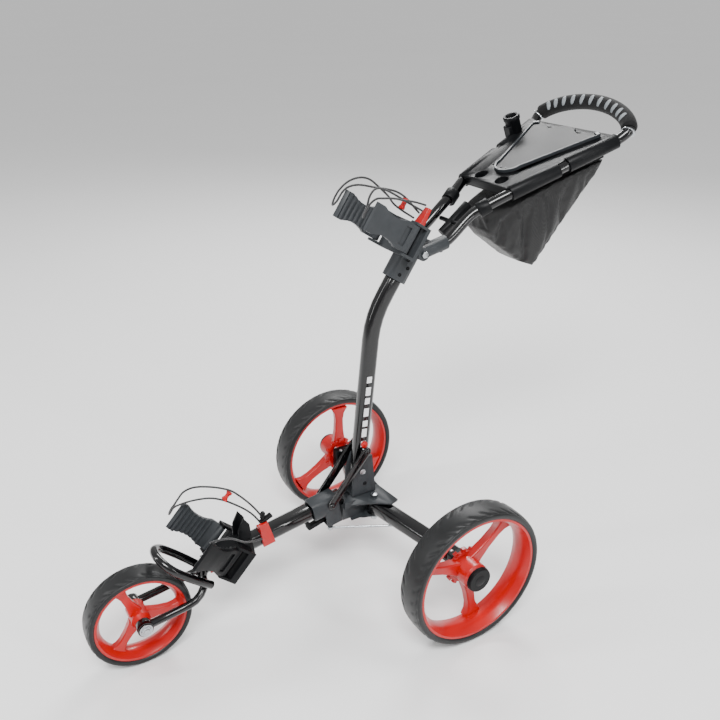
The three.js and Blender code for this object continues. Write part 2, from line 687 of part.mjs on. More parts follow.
function lowerCradle() {
  const group = cradleFrame(lowerBase, lowerAxis, lowerOut);
  const toLocal = group.matrix.clone().invert();
  const sleeve = bar(
    onTube(LOWER_AHEAD - 46), onTube(LOWER_AHEAD + 22),
    roundedRect(TUBE_WIDTH + 14, TUBE_HEIGHT + 14, 9, 2),
  );
  const root = onTube(LOWER_AHEAD - 36, TUBE_HEIGHT / 2);
  const fins = SIDES.map(([, s]) => {
    const y = s * 14;
    const outline = [[root.x + 12, root.z], [root.x + 9, root.z + 40], [root.x - 2, root.z + 56],
      [root.x - 14, root.z + 32], [root.x - 16, root.z]];
    return sidePlate(outline, y - 2.5, y + 2.5);
  });
  const foot = join(sleeve, ...fins).applyMatrix4(toLocal);
  const body = saddle(LOWER_HINGE_OUT, LOWER_HINGE_HALF, 0, LOWER_ARM_TALL, 16, foot);
  const tube = bar(
    onTube(0), onTube(TUBE_LENGTH + 100),
    roundedRect(TUBE_WIDTH + 2 * GAP, TUBE_HEIGHT + 2 * GAP, TUBE_CORNER),
  ).applyMatrix4(toLocal);
  add("lower_cradle", cut(body, tube), darkPlastic, group);
  SIDES.forEach(([side, s]) => {
    const arm = add("lower_arm_" + side, cradleArm(LOWER_ARM_LENGTH, LOWER_ARM_TALL, -s),
      grayPlastic, group);
    arm.position.set(LOWER_HINGE_OUT, -s * LOWER_HINGE_HALF, 0);
    arm.rotation.z = -s * radians(LOWER_ARM_SPREAD);
  });
}

const HOOP_TUBE = 8;
const HOOP_HALF = 42;

function bagHoop() {
  const tip = frontAxle.clone().add(v(46, 0, 120));
  const back = v(-lowerOut.x, 0, -lowerOut.z);
  const at = (down, y) => tip.clone().addScaledVector(back, down).setY(y);
  const half = [at(122, HOOP_HALF - 8), at(90, HOOP_HALF - 2), at(55, HOOP_HALF),
    at(25, HOOP_HALF - 4), at(6, HOOP_HALF - 20)];
  const mirrored = half.map((p) => v(p.x, -p.y, p.z)).reverse();
  add("bag_hoop", sweep([...half, at(0, 0), ...mirrored], ring(HOOP_TUBE, 10), 26), blackTube);
}

// ---- Handle, grip and yoke
const consoleLow = onCradle(-96.7, 244.2);
const consoleAlong = v(Math.cos(radians(CONSOLE_SLOPE)), 0, Math.sin(radians(CONSOLE_SLOPE)));
const consoleUp = v(-consoleAlong.z, 0, consoleAlong.x);
const onConsole = (along, y, above = 0) =>
  consoleLow.clone().addScaledVector(consoleAlong, along).addScaledVector(consoleUp, above).setY(y);
const tubeHalf = (along) =>
  CONSOLE_LOW_HALF + ((CONSOLE_HIGH_HALF - CONSOLE_LOW_HALF) * along) / CONSOLE_LENGTH;
const handlePivot = onCradle(PIVOT_OUT, PIVOT_HIGH);
const BOW_START = CONSOLE_LENGTH + 25;
const BOW_REACH = 48;
const BOW_RISE = 23;
const BOW_HALF = CONSOLE_HIGH_HALF + 9;
const onBow = (degrees) => {
  const share = Math.cos(radians(degrees)) ** 1.3;
  const y = BOW_HALF * Math.sin(radians(degrees));
  return onConsole(BOW_START + BOW_REACH * share, y, 7 + BOW_RISE * share);
};
const HANDLE_STEPS = 56;
const lowHandle = [[-9, 85, 44], [-34, 107, 44.5], [-59, 177, 46], [-75, 205, 55]];

function handlePath() {
  const half = lowHandle.map(([out, high, y]) => onCradle(out, high, y));
  half.push(onConsole(0, tubeHalf(0)), onConsole(60, tubeHalf(60)));
  half.push(onConsole(CONSOLE_LENGTH * 0.6, tubeHalf(CONSOLE_LENGTH * 0.6)));
  half.push(onConsole(CONSOLE_LENGTH, tubeHalf(CONSOLE_LENGTH)));
  half.push(onBow(80), onBow(60), onBow(38), onBow(18));
  const mirrored = half.map((p) => v(p.x, -p.y, p.z)).reverse();
  return [...half, onBow(0), ...mirrored];
}

function handleFrame() {
  const tube = sweep(handlePath(), ring(HANDLE_TUBE, 10), HANDLE_STEPS);
  add("handle_frame", tube, blackTube);
  const room = sweep(handlePath(), ring(HANDLE_TUBE + GAP, 10), HANDLE_STEPS);
  const over = [76, 64, 48, 30, 14, 0, -14, -30, -48, -64, -76].map(onBow);
  const grip = sweep(over, ring(GRIP_RADIUS, 10), 24);
  add("grip", cut(grip, room), foam);
  SIDES.forEach(([side, s]) => {
    const end = onBow(s * 85.2);
    const tail = onBow(s * 89);
    const collar = rod(end, tail, GRIP_RADIUS - 1, 16);
    add("grip_ring_" + side, cut(collar, room), steel);
    const bandLow = onCradle(-67, 188.5, s * 48);
    const bandHigh = onCradle(-76, 208.5, s * 56);
    const band = rod(bandLow, bandHigh, HANDLE_TUBE + 4.5, 16);
    add("tube_band_" + side, cut(band, room), darkPlastic);
  });
  return room;
}

function handleYoke(room) {
  const p = handlePivot;
  const sockets = SIDES.flatMap(([, s]) => {
    const near = s * 21.5;
    const far = s * 56;
    return [
      across(p.x, p.z, Math.min(near, far), Math.max(near, far), 13, 20),
      rod(p.clone().setY(s * 43.5), onCradle(-34, 107, s * 44.5), 14, 16),
    ];
  });
  const bridge = bar(onCradle(-34, 92, -44), onCradle(-34, 92, 44), roundedRect(10, 14, 3, 1));
  const bolt = across(p.x, p.z, -80, 80, BOLT + GAP, 16);
  add("handle_yoke", cut(join(...sockets, bridge), room, bolt), grayPlastic);
  const shank = across(p.x, p.z, -59, 59, BOLT, 16);
  const heads = SIDES.map(([, s]) => {
    const span = [s * (58 + GAP), s * 61];
    return across(p.x, p.z, Math.min(...span), Math.max(...span), 7, 6);
  });
  add("handle_pivot_bolt", join(shank, ...heads), steel);
}

function handleLever() {
  const stem = rod(onCradle(-52, 122), onCradle(-76, 196), 9, 16);
  const spindle = bar(onCradle(-58, 150, -32), onCradle(-58, 150, 32), roundedRect(8, 8, 2, 1));
  add("handle_lever", join(stem, spindle), darkPlastic);
}

// ---- Console
const consoleMatrix = new THREE.Matrix4()
  .makeBasis(consoleAlong, v(0, 1, 0), consoleUp)
  .setPosition(consoleLow);
const TOP = 12; // the console's top face, above the tubes' middle
const LID_FROM = 36;
const LID_TO = CONSOLE_LENGTH - 8;
const LID_THICK = 5;

function trapezoid(from, to, halfFrom, halfTo, low, high) {
  return hull(
    [[from, halfFrom], [to, halfTo]].flatMap(([x, half]) =>
      [-half, half].flatMap((y) => [v(x, y, low), v(x, y, high)])),
  );
}

function consoleTray(room) {
  const plate = trapezoid(-4, CONSOLE_LENGTH, tubeHalf(-4), tubeHalf(CONSOLE_LENGTH), -6, TOP);
  const covers = SIDES.flatMap(([, s]) =>
    [[0, 104], [124, CONSOLE_LENGTH]].map(([from, to]) =>
      rod(v(from, s * tubeHalf(from), 0), v(to, s * tubeHalf(to), 0), HANDLE_TUBE + WALL + 1, 20)));
  const pocketFrom = LID_FROM + 18;
  const pocketTo = CONSOLE_LENGTH - 14;
  const inner = (x) => tubeHalf(x) - HANDLE_TUBE - WALL - 6;
  const pocket = trapezoid(pocketFrom, pocketTo, inner(pocketFrom) - 22, inner(pocketTo) - 8,
    -CONSOLE_DEPTH + WALL, TOP + 20);
  const tub = trapezoid(pocketFrom - WALL, pocketTo + WALL, inner(pocketFrom) - 22 + WALL,
    inner(pocketTo) - 8 + WALL, -CONSOLE_DEPTH, 0);
  const holes = SIDES.map(([, s]) => standing(17, s * 31, -CONSOLE_DEPTH - 9, TOP + 9, 14, 24));
  const shell = join(plate, tub, ...covers);
  shell.applyMatrix4(consoleMatrix);
  const tools = [pocket, ...holes].map((tool) => tool.applyMatrix4(consoleMatrix));
  add("console_tray", cut(shell, room, ...tools), darkPlastic);
  const half = (x) => 20 + ((tubeHalf(LID_TO) - 30) * (x - LID_FROM)) / (LID_TO - LID_FROM);
  const lid = trapezoid(LID_FROM, LID_TO, half(LID_FROM), half(LID_TO), TOP + GAP, TOP + LID_THICK);
  add("console_lid", lid.applyMatrix4(consoleMatrix), darkPlastic);
}

function umbrellaSocket(room) {
  const along = 177;
  const y = tubeHalf(along) + 4;
  const body = trapezoid(along - 17, along + 17, 16, 16, -6, 49).translate(0, y, 0);
  const bore = standing(along + 2, y, 22, 90, 11, 20);
  const tray = rod(v(0, tubeHalf(0), 0), v(CONSOLE_LENGTH, tubeHalf(CONSOLE_LENGTH), 0),
    HANDLE_TUBE + WALL + 1 + GAP, 20);
  const inner = trapezoid(-4, CONSOLE_LENGTH + 9, tubeHalf(-4) + GAP, tubeHalf(CONSOLE_LENGTH + 9) + GAP,
    -99, TOP + GAP);
  const tools = [bore, tray, inner].map((tool) => tool.applyMatrix4(consoleMatrix));
  add("umbrella_socket", cut(body.applyMatrix4(consoleMatrix), room, ...tools), darkPlastic);
}

function accessoryBag(room) {
  const points = (inset) =>
    [1, -1].flatMap((s) => [
      onConsole(-46 + inset, s * (38 - inset), -20 - inset),
      onConsole(10, s * (64 - inset), -CONSOLE_DEPTH - 2 + 4 * inset),
      onConsole(224 - inset, s * (98 - inset), -CONSOLE_DEPTH - 2 + 4 * inset),
      onConsole(224 - inset, s * (92 - inset), -CONSOLE_DEPTH - 14),
      consoleLow.clone().add(v(112 - inset, 0, -170 + 2 * inset)).setY(s * (44 - inset)),
      consoleLow.clone().add(v(70 + inset, 0, -158 + 2 * inset)).setY(s * (42 - inset)),
      consoleLow.clone().add(v(-26 + inset, 0, -84 + inset)).setY(s * (40 - inset)),
    ]);
  const above = block(v(-7, -200, -CONSOLE_DEPTH - GAP), v(300, 200, 100)).applyMatrix4(consoleMatrix);
  const slit = bar(
    consoleLow.clone().add(v(-60, 0, -150)),
    consoleLow.clone().add(v(60, 0, -100)),
    roundedRect(64, 16, 4, 1),
  );
  const shell = cut(hull(points(0)), hull(points(2.5)), above, room, slit);
  add("accessory_bag", shell, nylon);
}

// ---- Elastic cords
const cordSection = () => ring(CORD / 2, 8);

function upperCords() {
  const route = (points) => points.map(([out, high, y]) => onCradle(out, high, y));
  const right = route([[29, 118, -6], [58, 119, 0], [75, 122, 8], [88, 130, 18], [102, 135, 28],
    [127, 140, 40], [141, 135, 47], [154, 120, 55], [160, 97, 62], [159, 77, 65], [160, 67, 59],
    [160, 75, 52], [159, 97, 50], [154, 109, 48], [141, 121, 42], [115, 132, 24], [102, 138, 14],
    [85, 143, 6], [69, 143, 0], [55, 139, -6], [45, 135, -10], [29, 130, -14]]);
  const left = route([[29, 148, -20], [59, 141, -22], [83, 133, -26], [108, 126, -32],
    [132, 116, -38], [148, 108, -42], [155, 95, -42], [156, 79, -42], [153, 69, -40],
    [152, 77, -36], [155, 93, -35], [158, 103, -35], [156, 116, -32], [145, 127, -26],
    [118, 133, -19], [83, 135, -14], [59, 135, -16], [29, 136, -18]]);
  add("upper_cord_right", sweep(right, cordSection(), 40), cordBlack);
  add("upper_cord_left", sweep(left, cordSection(), 34), cordBlack);
}

// The red pieces that hold the cords: a post on the cradle or the tube, and a clip on the loop.
function cordFittings() {
  const upper = cradleFrame(cradleBase, bagAxis, bagOut);
  const top = UPPER_MIDDLE + UPPER_ARM_TALL / 2 + 6 + GAP;
  const post = hull([v(12, 4, top), v(12, 26, top), v(24, 4, top), v(24, 26, top),
    v(14, 12, top + 36), v(14, 24, top + 36), v(22, 12, top + 36), v(22, 24, top + 36)]);
  add("upper_cord_hook", post, redPlastic, upper);
  const clip = block(v(59, 0, 123.5), v(67, 6, 138));
  add("upper_cord_clip", clip, redPlastic, upper);
  const lower = cradleFrame(lowerBase, lowerAxis, lowerOut);
  add("lower_cord_clip", block(v(64, -23, 86), v(71, -17, 101)), redPlastic, lower);
  const at = (ahead, above, y) => onTube(ahead, above, y);
  const side = TUBE_WIDTH / 2 + GAP;
  const roof = TUBE_HEIGHT / 2 + GAP;
  const plate = hull([
    at(208, -12, -side), at(234, -12, -side), at(208, -12, -side - 6), at(234, -12, -side - 6),
    at(214, roof + 28, -side), at(232, roof + 28, -side), at(214, roof + 28, -side - 6),
    at(232, roof + 28, -side - 6),
  ]);
  const saddleTop = hull([
    at(210, roof, -side - 3), at(232, roof, -side - 3), at(210, roof, 10), at(232, roof, 10),
    at(214, roof + 10, -side - 3), at(230, roof + 10, -side - 3), at(214, roof + 8, 8),
    at(230, roof + 8, 8),
  ]);
  add("lower_cord_anchor", join(plate, saddleTop), redPlastic);
}

function lowerCords() {
  const place = lowerBase;
  const route = (points) =>
    points.map(([out, high, y]) =>
      place.clone().addScaledVector(lowerOut, out).addScaledVector(lowerAxis, high).setY(y));
  const right = route([[-24, 88, -12], [0, 98, -6], [25, 104, 2], [52, 107, 10], [71, 106, 18],
    [101, 90, 36], [120, 69, 54], [126, 51, 62], [122, 33, 69], [118, 18, 74], [115, 6, 78],
    [114, -4, 76], [117, 2, 70], [119, 14, 68], [112, 30, 62], [100, 53, 48], [84, 72, 34],
    [67, 82, 22], [49, 87, 12], [25, 90, 2], [3, 88, -4], [-24, 80, -12]]);
  const left = route([[94, 22, -58], [84, 30, -56], [70, 37, -53], [48, 43, -47], [12, 44, -38],
    [-12, 50, -29], [-30, 60, -25]]);
  add("lower_cord_left", sweep(left, cordSection(), 18), cordBlack);
  add("lower_cord_right", sweep(right, cordSection(), 34), cordBlack);
}

function build() {
  frontTube();
  frontFork();
  frontWheel();
  hubBase();
  rearArms();
  rearWheels();
  hubBracket();
  mast();
  slideCollar();
  struts();
  upperCradle();
  lowerCradle();
  bagHoop();
  const room = handleFrame();
  handleYoke(room);
  handleLever();
  consoleTray(room);
  umbrellaSocket(room);
  accessoryBag(room);
  cordFittings();
  upperCords();
  lowerCords();
}

build();
cart.updateMatrixWorld(true);
const box = new THREE.Box3().setFromObject(cart);
cart.position.set(-(box.min.x + box.max.x) / 2, -(box.min.y + box.max.y) / 2, -box.min.z);

export default cart;
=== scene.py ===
"""A folding three-wheel golf push cart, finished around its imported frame."""
import json
import math

import bmesh
import bpy
from mathutils import Matrix, Vector, noise


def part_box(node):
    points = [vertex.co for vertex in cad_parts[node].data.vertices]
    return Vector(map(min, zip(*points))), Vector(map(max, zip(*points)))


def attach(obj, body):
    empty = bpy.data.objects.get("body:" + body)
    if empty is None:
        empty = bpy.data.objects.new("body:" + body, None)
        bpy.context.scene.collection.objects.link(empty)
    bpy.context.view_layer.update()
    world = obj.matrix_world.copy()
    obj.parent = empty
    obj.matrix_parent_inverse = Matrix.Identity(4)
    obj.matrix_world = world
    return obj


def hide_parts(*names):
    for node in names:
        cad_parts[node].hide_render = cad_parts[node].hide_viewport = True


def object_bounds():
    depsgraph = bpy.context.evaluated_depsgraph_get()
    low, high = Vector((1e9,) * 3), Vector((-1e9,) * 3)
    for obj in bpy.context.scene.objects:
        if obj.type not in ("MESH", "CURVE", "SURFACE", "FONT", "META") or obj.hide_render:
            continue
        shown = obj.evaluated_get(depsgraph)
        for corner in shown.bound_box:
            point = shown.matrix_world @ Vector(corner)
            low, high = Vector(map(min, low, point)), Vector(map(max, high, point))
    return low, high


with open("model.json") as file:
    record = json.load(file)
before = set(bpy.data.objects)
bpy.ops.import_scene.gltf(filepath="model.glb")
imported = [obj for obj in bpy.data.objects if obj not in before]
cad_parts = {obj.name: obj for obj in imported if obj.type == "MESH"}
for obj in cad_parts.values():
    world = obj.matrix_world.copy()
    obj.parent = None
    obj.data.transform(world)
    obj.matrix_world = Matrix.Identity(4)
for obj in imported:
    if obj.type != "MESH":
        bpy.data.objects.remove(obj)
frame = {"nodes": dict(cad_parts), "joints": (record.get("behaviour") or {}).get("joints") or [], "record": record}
cad_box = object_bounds()
NODES = frame["nodes"]
SIDES = (("left", -1), ("right", 1))
JOINTS = {joint["name"]: joint for joint in frame["joints"]}


def pivot(name):
    return Vector(JOINTS[name]["pos_m"])


def middle(node):
    low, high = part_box(node)
    return (low + high) / 2


def lean(degrees):
    """A direction tipped back from upright, toward the person pushing."""
    angle = math.radians(degrees)
    return Vector((math.sin(angle), 0, math.cos(angle)))


# Axes of the two bag cradles: along the bag, and out toward it.
BAG = lean(33)
BAG_OUT = Vector((-BAG.z, 0, BAG.x))
FOOT = lean(43)
FOOT_OUT = Vector((-FOOT.z, 0, FOOT.x))
UPPER = pivot("upper_arm_swing_left") - BAG_OUT * 0.048 - BAG * 0.077
UPPER.y = 0
LOWER = pivot("lower_arm_swing_left") - FOOT_OUT * 0.016
LOWER.y = 0

# The console's own axes: along it toward the grip, and up out of its face.
SLOPE = math.radians(21.7)
ALONG = Vector((math.cos(SLOPE), 0, math.sin(SLOPE)))
FACE = Vector((-ALONG.z, 0, ALONG.x))
CONSOLE_TURN = Matrix((ALONG, Vector((0, 1, 0)), FACE)).transposed().to_4x4()
CONSOLE = UPPER + BAG_OUT * -0.0967 + BAG * 0.2442
CONSOLE_LENGTH = 0.232
LOW_HALF = 0.071
HIGH_HALF = 0.118


def on_cradle(out, high, y):
    """A point in the upper cradle's axes, in millimetres."""
    return UPPER + (BAG_OUT * out + BAG * high) / 1000 + Vector((0, y / 1000, 0))


def on_foot(out, high, y):
    """A point in the lower cradle's axes, in millimetres."""
    return LOWER + (FOOT_OUT * out + FOOT * high) / 1000 + Vector((0, y / 1000, 0))


def on_console(along, y, above=0.0):
    """A point in the console's axes, in metres."""
    return CONSOLE + ALONG * along + FACE * above + Vector((0, y, 0))


def tube_half(along):
    return LOW_HALF + (HIGH_HALF - LOW_HALF) * along / CONSOLE_LENGTH


# ---- Camera
CAMERA_BACK = Vector((-0.4658, -0.7787, 0.4203))
CAMERA_RIGHT = Vector((0.858, -0.5134, 0)).normalized()
CAMERA_UP = CAMERA_BACK.cross(CAMERA_RIGHT)
REAR_AXLE = middle("rear_tyre_left")
CAMERA_PLACE = Vector((REAR_AXLE.x - 0.8242, -1.2308, 1.1774))
camera_data = bpy.data.cameras.new("camera")
camera_data.sensor_width = 36
camera_data.lens = 40.49
camera = bpy.data.objects.new("camera", camera_data)
turn = Matrix((CAMERA_RIGHT, CAMERA_UP, CAMERA_BACK)).transposed()
camera.matrix_world = Matrix.Translation(CAMERA_PLACE) @ turn.to_4x4()
bpy.context.scene.collection.objects.link(camera)
bpy.context.scene.camera = camera


# ---- Materials
def linear(code):
    """An sRGB hex colour as linear RGBA."""
    channels = [int(code[i:i + 2], 16) / 255 for i in (1, 3, 5)]
    return (*[c / 12.92 if c < 0.04045 else ((c + 0.055) / 1.055) ** 2.4 for c in channels], 1)


def add_node(tree, kind, links=None, values=None, **settings):
    """A node with its settings, socket values and incoming links."""
    node = tree.nodes.new(kind)
    for name, value in settings.items():
        setattr(node, name, value)
    for socket, value in (values or {}).items():
        node.inputs[socket].default_value = value
    for socket, source in (links or {}).items():
        tree.links.new(source, node.inputs[socket])
    return node


def surface(name, shader, tones, blotch, bump_height, grain, roughness):
    """A finish whose colour drifts between two tones and whose surface has a fine relief.

    blotch and grain are sizes in metres, bump_height is in metres, roughness is a low and a high.
    """
    material = bpy.data.materials.new(name)
    material.use_nodes = True
    tree = material.node_tree
    tree.nodes.clear()
    place = add_node(tree, "ShaderNodeTexCoord").outputs["Object"]
    drift = add_node(tree, "ShaderNodeTexNoise", {"Vector": place},
                     {"Scale": 1 / blotch, "Detail": 5.0, "Roughness": 0.6})
    colour = add_node(tree, "ShaderNodeValToRGB", {"Fac": drift.outputs["Fac"]})
    colour.color_ramp.elements[0].color = linear(tones[0])
    colour.color_ramp.elements[1].color = linear(tones[1])
    colour.color_ramp.elements[0].position = 0.3
    colour.color_ramp.elements[1].position = 0.7
    relief = add_node(tree, "ShaderNodeTexNoise", {"Vector": place},
                      {"Scale": 1 / grain, "Detail": 3.0})
    bump = add_node(tree, "ShaderNodeBump", {"Height": relief.outputs["Fac"]},
                    {"Distance": bump_height, "Strength": 1.0})
    gloss = add_node(tree, "ShaderNodeMapRange", {"Value": drift.outputs["Fac"]},
                     {"To Min": roughness[0], "To Max": roughness[1]})
    shade = add_node(
        tree, "ShaderNodeBsdfPrincipled",
        {"Base Color": colour.outputs["Color"], "Roughness": gloss.outputs["Result"],
         "Normal": bump.outputs["Normal"]},
        shader,
    )
    add_node(tree, "ShaderNodeOutputMaterial", {"Surface": shade.outputs["BSDF"]})
    return material


# Powder-coated steel tube: near black, glossy, with the faint ripple of baked powder.
enamelled_tube = surface("enamelled_tube", {"IOR": 1.5, "Specular IOR Level": 0.25,
                                            "Coat Weight": 0.55, "Coat Roughness": 0.05},
                         ("#020203", "#040406"), 0.12, 0.00004, 0.0016, (0.16, 0.24))
# Moulded ABS in signal red: bright, glossy, hardly any grain.
red_abs = surface("red_abs", {"IOR": 1.54, "Specular IOR Level": 0.4,
                              "Coat Weight": 0.1, "Coat Roughness": 0.12},
                  ("#A60002", "#B60003"), 0.09, 0.00003, 0.0012, (0.26, 0.34))
# Glass-filled nylon: dark gray with a spark-eroded grain that scatters highlights.
gray_nylon = surface("gray_nylon", {"IOR": 1.53, "Specular IOR Level": 0.3},
                     ("#26292C", "#303336"),
                     0.05, 0.00008, 0.0009, (0.42, 0.55))
# Moulded polypropylene: black, satin, with a fine leather-like grain.
satin_polypropylene = surface("satin_polypropylene", {"IOR": 1.49, "Specular IOR Level": 0.16},
                              ("#07080A", "#0D0E10"),
                              0.05, 0.00007, 0.0008, (0.38, 0.5))
# The lid's raised rim: the same plastic, polished smoother, and given a lighter gray as a painted highlight, so it
# reads lighter.
polished_polypropylene_painted_highlight = surface("polished_polypropylene_painted_highlight",
                                 {"IOR": 1.49, "Specular IOR Level": 0.35}, ("#24272A", "#2D3033"),
                                 0.05, 0.00003, 0.0012, (0.3, 0.38))
# Foamed EVA tyre: near black, with a soft broad shine.
tyre_foam = surface("tyre_foam", {"IOR": 1.5, "Specular IOR Level": 0.35, "Sheen Weight": 0.05},
                    ("#0C0D0E", "#151617"), 0.03, 0.0001, 0.0012, (0.36, 0.52))
# Soft grip foam: black, matt, with open pores.
grip_foam = surface("grip_foam", {"IOR": 1.45, "Specular IOR Level": 0.3, "Sheen Weight": 0.1},
                    ("#050506", "#0C0C0D"),
                    0.01, 0.0002, 0.0007, (0.75, 0.9))
# Moulded rubber ovals let into the grip: light gray.
pale_rubber = surface("pale_rubber", {"IOR": 1.5}, ("#777C80", "#878C90"),
                      0.01, 0.00005, 0.0006, (0.5, 0.6))
# Zinc-plated steel, lightly brushed.
plated_steel = surface("plated_steel", {"Metallic": 1.0}, ("#A9ADB0", "#C6C9CC"),
                       0.008, 0.00002, 0.0005, (0.22, 0.34))
# Printed white on the mast.
white_print = surface("white_print", {"IOR": 1.5}, ("#E2E4E6", "#F2F3F4"),
                      0.02, 0.00002, 0.001, (0.4, 0.5))


def woven(name, tones, thread, shader):
    """Cloth of crossed threads, thread metres apart."""
    material = bpy.data.materials.new(name)
    material.use_nodes = True
    tree = material.node_tree
    tree.nodes.clear()
    place = add_node(tree, "ShaderNodeTexCoord").outputs["Object"]
    warp = add_node(tree, "ShaderNodeTexWave", {"Vector": place}, {"Scale": 0.314 / thread},
                    bands_direction="Y")
    weft = add_node(tree, "ShaderNodeTexWave", {"Vector": place}, {"Scale": 0.314 / thread},
                    bands_direction="Z")
    cloth = add_node(tree, "ShaderNodeMath", {0: warp.outputs["Fac"], 1: weft.outputs["Fac"]},
                     operation="MULTIPLY")
    crumple = add_node(tree, "ShaderNodeTexNoise", {"Vector": place},
                       {"Scale": 28.0, "Detail": 4.0, "Distortion": 0.4})
    heights = add_node(tree, "ShaderNodeMath",
                       {0: crumple.outputs["Fac"], 1: cloth.outputs["Value"],
                        2: crumple.outputs["Fac"]}, operation="MULTIPLY_ADD")
    bump = add_node(tree, "ShaderNodeBump", {"Height": heights.outputs["Value"]},
                    {"Distance": 0.0006, "Strength": 0.7})
    colour = add_node(tree, "ShaderNodeValToRGB", {"Fac": heights.outputs["Value"]})
    colour.color_ramp.elements[0].color = linear(tones[0])
    colour.color_ramp.elements[1].color = linear(tones[1])
    shade = add_node(tree, "ShaderNodeBsdfPrincipled",
                     {"Base Color": colour.outputs["Color"], "Normal": bump.outputs["Normal"]},
                     shader)
    add_node(tree, "ShaderNodeOutputMaterial", {"Surface": shade.outputs["BSDF"]})
    return material


# Coated nylon pack cloth: black with a soft shine. Threads drawn 1.2 mm apart so that they show.
pack_cloth = woven("pack_cloth", ("#030304", "#0A0A0B"), 0.0012,
                   {"Roughness": 0.38, "Specular IOR Level": 0.35, "Sheen Weight": 0.06,
                    "Sheen Roughness": 0.4, "IOR": 1.5})
# Braided elastic cord, its braid drawn 1 mm apart.
braided_cord = woven("braided_cord", ("#101011", "#242426"), 0.001,
                     {"Roughness": 0.7, "Sheen Weight": 0.3, "IOR": 1.5})

FINISHES = {
    "black_tube": enamelled_tube,
    "red_plastic": red_abs,
    "gray_plastic": gray_nylon,
    "dark_plastic": satin_polypropylene,
    "tyre": tyre_foam,
    "foam": grip_foam,
    "steel": plated_steel,
    "nylon": pack_cloth,
    "cord": braided_cord,
}
SLOT_OF = {row["node"]: row["material_slot"] for row in frame["record"]["subparts"]}


# ---- Pieces
def piece(name, mesh, body, material, replaced=()):
    """Puts a finished mesh or curve in the scene, on its body."""
    made = bpy.data.objects.new(name, mesh)
    bpy.context.scene.collection.objects.link(made)
    made.data.materials.append(material)
    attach(made, body)
    if replaced:
        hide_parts(*replaced)
    return made


def to_mesh(shape, name, smooth=True):
    """A bmesh as a mesh with its normals facing out."""
    bmesh.ops.recalc_face_normals(shape, faces=shape.faces)
    for face in shape.faces:
        face.smooth = smooth
    mesh = bpy.data.meshes.new(name)
    shape.to_mesh(mesh)
    shape.free()
    return mesh


def soften(made, width, angle=40, segments=2):
    """Rounds the sharp edges as a mould or a press leaves them."""
    bevel = made.modifiers.new("rounded_edges", "BEVEL")
    bevel.width = width
    bevel.segments = segments
    bevel.limit_method = "ANGLE"
    bevel.angle_limit = math.radians(angle)
    bevel.harden_normals = True
    bevel.use_clamp_overlap = True


# Nodes whose finish or edge rounding differs from the rest of their kind. The near lower arm takes the black
# plastic in place of its gray as painted shade, where it stands in shadow.
PAINTED_SHADE_FINISH = {"lower_arm_left": satin_polypropylene}
OWN_EDGE = {"upper_cradle": 0.0025, "lower_cradle": 0.003, "hub_base": 0.003,
            "console_tray": 0.002, "hub_bracket": 0.002,
            "lower_cord_anchor": 0.002, "axle_block_left": 0.003, "axle_block_right": 0.003}


def finish_nodes():
    """Gives every carried-over node its material, welded and with rounded edges."""
    widths = {"steel": 0.0004, "black_tube": 0.0007}
    for name, made in NODES.items():
        made.data.materials.clear()
        # The near lower arm's darker finish is painted shade, not a different plastic.
        made.data.materials.append(PAINTED_SHADE_FINISH.get(name, FINISHES[SLOT_OF[name]]))
        for polygon in made.data.polygons:
            polygon.use_smooth = True
        weld = made.modifiers.new("weld", "WELD")
        weld.merge_threshold = 0.00002
        planes = made.modifiers.new("planes", "DECIMATE")
        planes.decimate_type = "DISSOLVE"
        planes.angle_limit = math.radians(0.6)
        soften(made, OWN_EDGE.get(name, widths.get(SLOT_OF[name], 0.001)), angle=50)


def through(points, steps):
    """A smooth path through the points, a centripetal Catmull-Rom spline."""
    ends = [2 * points[0] - points[1], *points, 2 * points[-1] - points[-2]]
    path = []
    for a, b, c, d in zip(ends, ends[1:], ends[2:], ends[3:]):
        t1 = (b - a).length ** 0.5
        t2 = t1 + (c - b).length ** 0.5
        t3 = t2 + (d - c).length ** 0.5
        for i in range(steps):
            t = t1 + (t2 - t1) * i / steps
            first = a.lerp(b, t / t1)
            second = b.lerp(c, (t - t1) / (t2 - t1))
            third = c.lerp(d, (t - t2) / (t3 - t2))
            low = first.lerp(second, t / t2)
            high = second.lerp(third, (t - t1) / (t3 - t1))
            path.append(low.lerp(high, (t - t1) / (t2 - t1)))
    return path + [points[-1]]


def tube(name, path, radius, body, material, replaced=(), sides=6, radii=None):
    """A round bar or cord along a path, as a curve of one spline."""
    curve = bpy.data.curves.new(name, "CURVE")
    curve.dimensions = "3D"
    curve.bevel_depth = radius
    curve.bevel_resolution = sides
    curve.use_fill_caps = True
    curve.twist_mode = "MINIMUM"
    spline = curve.splines.new("POLY")
    spline.points.add(len(path) - 1)
    for i, place in enumerate(path):
        spline.points[i].co = (*place, 1)
        spline.points[i].radius = radii[i] if radii else 1
    spline.use_smooth = True
    return piece(name, curve, body, material, replaced)


def mirrored(half):
    """The other side of a path that starts on the right."""
    return [Vector((p.x, -p.y, p.z)) for p in reversed(half)]


# ---- Elastic cords, first because their room is checked
UPPER_RIGHT = ((29, 118, -6), (58, 119, 0), (75, 122, 8), (88, 130, 18), (102, 135, 28),
               (127, 140, 40), (141, 135, 47), (154, 120, 55), (160, 97, 62), (159, 77, 65),
               (160, 67, 59), (160, 75, 52), (159, 97, 50), (154, 109, 48), (141, 121, 42),
               (115, 132, 24), (102, 138, 14), (85, 143, 6), (69, 143, 0), (55, 139, -6),
               (45, 135, -10), (29, 130, -14))
UPPER_LEFT = ((29, 148, -20), (59, 141, -22), (83, 133, -26), (108, 126, -32), (132, 116, -38),
              (148, 108, -42), (155, 95, -42), (156, 79, -43), (155, 72, -42.5), (153.5, 69, -39.5),
              (152.5, 72, -36.5), (152.5, 78, -35.5),
              (155, 93, -35), (158, 103, -35), (156, 116, -32), (145, 127, -26), (118, 133, -19),
              (83, 135, -14), (59, 135, -16), (29, 136, -18))
